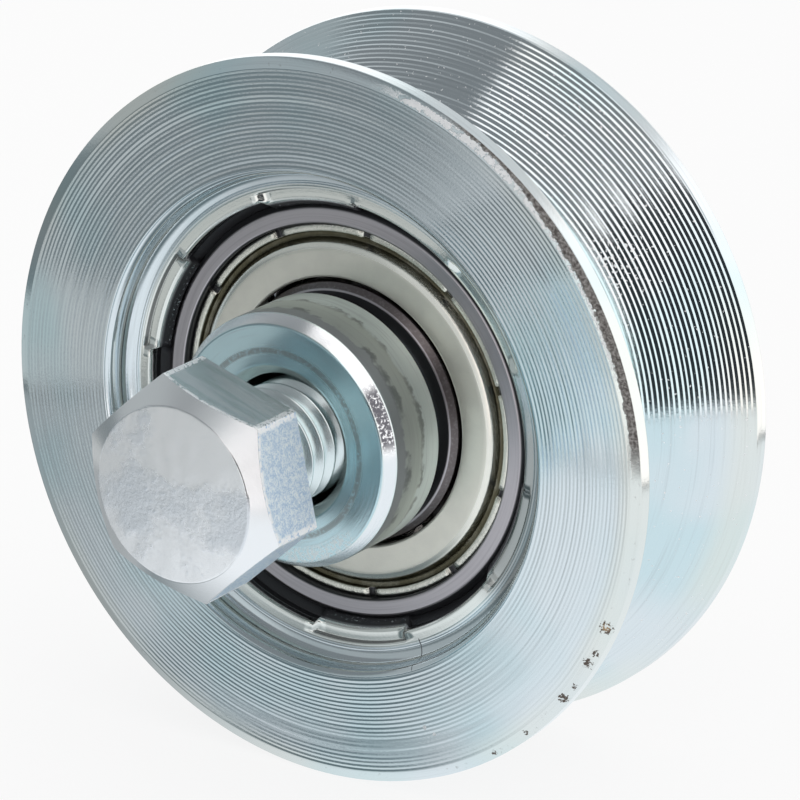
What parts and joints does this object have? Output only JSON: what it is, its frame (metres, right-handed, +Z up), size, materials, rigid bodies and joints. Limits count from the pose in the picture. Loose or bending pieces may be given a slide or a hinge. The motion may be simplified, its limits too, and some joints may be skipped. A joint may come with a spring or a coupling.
{
  "type": "v-groove wheel",
  "caption": "Turned steel V-groove rail wheel with a shielded ball bearing staked in its hub, stepped side bushes and a hexagon axle bolt with its nut.",
  "frame": {"origin": "the axle's line at the middle of the wheel's width", "axes": "+Y along the axle from the bolt head to the nut, +Z up, +X to the right seen from the bolt head"},
  "size_m": [0.06, 0.0564, 0.06],
  "materials": {
    "wheel_zinc": "turned steel, blue zinc plating",
    "ring_steel": "ground bearing steel",
    "ball_steel": "polished",
    "cage_steel": "pressed sheet",
    "shield_steel": "pressed sheet, warm grey",
    "bush_zinc": "turned steel, blue zinc plating",
    "bolt_zinc": "forged steel, zinc plating"
  },
  "bodies": {
    "axle_group": {"axle_bolt": "bolt_zinc", "axle_nut": "bolt_zinc", "front_bush": "bush_zinc", "rear_bush": "bush_zinc", "bearing_inner_ring": "ring_steel"},
    "wheel_group": {"wheel": "wheel_zinc", "bearing_outer_ring": "ring_steel", "front_shield": "shield_steel", "rear_shield": "shield_steel"},
    "cage_group": {"cage_front_half": "cage_steel", "cage_rear_half": "cage_steel", "cage_rivets": "cage_steel"},
    "ball_1": {"bearing_ball_1": "ball_steel"},
    "ball_2": {"bearing_ball_2": "ball_steel"},
    "ball_3": {"bearing_ball_3": "ball_steel"},
    "ball_4": {"bearing_ball_4": "ball_steel"},
    "ball_5": {"bearing_ball_5": "ball_steel"},
    "ball_6": {"bearing_ball_6": "ball_steel"},
    "ball_7": {"bearing_ball_7": "ball_steel"},
    "ball_8": {"bearing_ball_8": "ball_steel"}
  },
  "joints": [
    {"name": "wheel_spin", "type": "hinge", "parent": "axle_group", "child": "wheel_group", "pos_m": [0, 0, 0], "axis": [0, 1, 0], "continuous": true},
    {"name": "cage_orbit", "type": "hinge", "parent": "axle_group", "child": "cage_group", "pos_m": [0, -0.00075, 0], "axis": [0, 1, 0], "continuous": true},
    {"name": "ball_1_roll", "type": "hinge", "parent": "cage_group", "child": "ball_1", "pos_m": [0.0125, -0.00075, 0], "axis": [0, 1, 0], "continuous": true},
    {"name": "ball_2_roll", "type": "hinge", "parent": "cage_group", "child": "ball_2", "pos_m": [0.00884, -0.00075, 0.00884], "axis": [0, 1, 0], "continuous": true},
    {"name": "ball_3_roll", "type": "hinge", "parent": "cage_group", "child": "ball_3", "pos_m": [0, -0.00075, 0.0125], "axis": [0, 1, 0], "continuous": true},
    {"name": "ball_4_roll", "type": "hinge", "parent": "cage_group", "child": "ball_4", "pos_m": [-0.00884, -0.00075, 0.00884], "axis": [0, 1, 0], "continuous": true},
    {"name": "ball_5_roll", "type": "hinge", "parent": "cage_group", "child": "ball_5", "pos_m": [-0.0125, -0.00075, 0], "axis": [0, 1, 0], "continuous": true},
    {"name": "ball_6_roll", "type": "hinge", "parent": "cage_group", "child": "ball_6", "pos_m": [-0.00884, -0.00075, -0.00884], "axis": [0, 1, 0], "continuous": true},
    {"name": "ball_7_roll", "type": "hinge", "parent": "cage_group", "child": "ball_7", "pos_m": [0, -0.00075, -0.0125], "axis": [0, 1, 0], "continuous": true},
    {"name": "ball_8_roll", "type": "hinge", "parent": "cage_group", "child": "ball_8", "pos_m": [0.00884, -0.00075, -0.00884], "axis": [0, 1, 0], "continuous": true}
  ],
  "couplings": [
    {"joint": "cage_orbit", "follows": "wheel_spin", "ratio": 0.61906},
    {"joint": "ball_1_roll", "follows": "wheel_spin", "ratio": 1.9807},
    {"joint": "ball_2_roll", "follows": "wheel_spin", "ratio": 1.9807},
    {"joint": "ball_3_roll", "follows": "wheel_spin", "ratio": 1.9807},
    {"joint": "ball_4_roll", "follows": "wheel_spin", "ratio": 1.9807},
    {"joint": "ball_5_roll", "follows": "wheel_spin", "ratio": 1.9807},
    {"joint": "ball_6_roll", "follows": "wheel_spin", "ratio": 1.9807},
    {"joint": "ball_7_roll", "follows": "wheel_spin", "ratio": 1.9807},
    {"joint": "ball_8_roll", "follows": "wheel_spin", "ratio": 1.9807}
  ]
}
